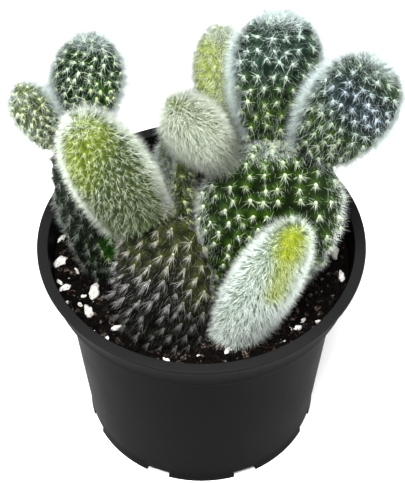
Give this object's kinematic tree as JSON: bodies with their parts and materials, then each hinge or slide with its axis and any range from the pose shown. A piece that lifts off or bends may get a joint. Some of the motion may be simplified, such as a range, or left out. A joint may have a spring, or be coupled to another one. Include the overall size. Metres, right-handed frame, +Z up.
{
  "type": "potted cactus",
  "caption": "Clump of flattened, tufted cactus pads growing on one another from dark soil in a round tapered plastic nursery pot.",
  "frame": {"origin": "on the surface that the pot stands on, under the middle of the whole plant and pot", "axes": "+Z up, -Y towards the side that the picture shows, +X to the viewer's right"},
  "size_m": [0.1234, 0.11, 0.1683],
  "materials": {
    "pot_plastic": "satin black",
    "potting_mix": "matt crumbly",
    "grown_pad": "matt skin with pale tufts",
    "shaded_pad": "matt skin with pale tufts",
    "young_pad": "dense pale fuzz"
  },
  "bodies": {
    "root": {"pot": "pot_plastic", "soil": "potting_mix", "pad_front_base": "shaded_pad", "pad_right_base": "grown_pad", "pad_left_base": "shaded_pad", "pad_narrow": "grown_pad", "pad_front_finger": "young_pad", "pad_centre_top": "grown_pad", "pad_right_top": "grown_pad", "pad_front_young": "young_pad", "pad_middle_young": "young_pad", "pad_back_young": "young_pad", "pad_left_top": "grown_pad", "pad_left_small": "young_pad", "pad_slim_young": "young_pad"}
  },
  "joints": []
}
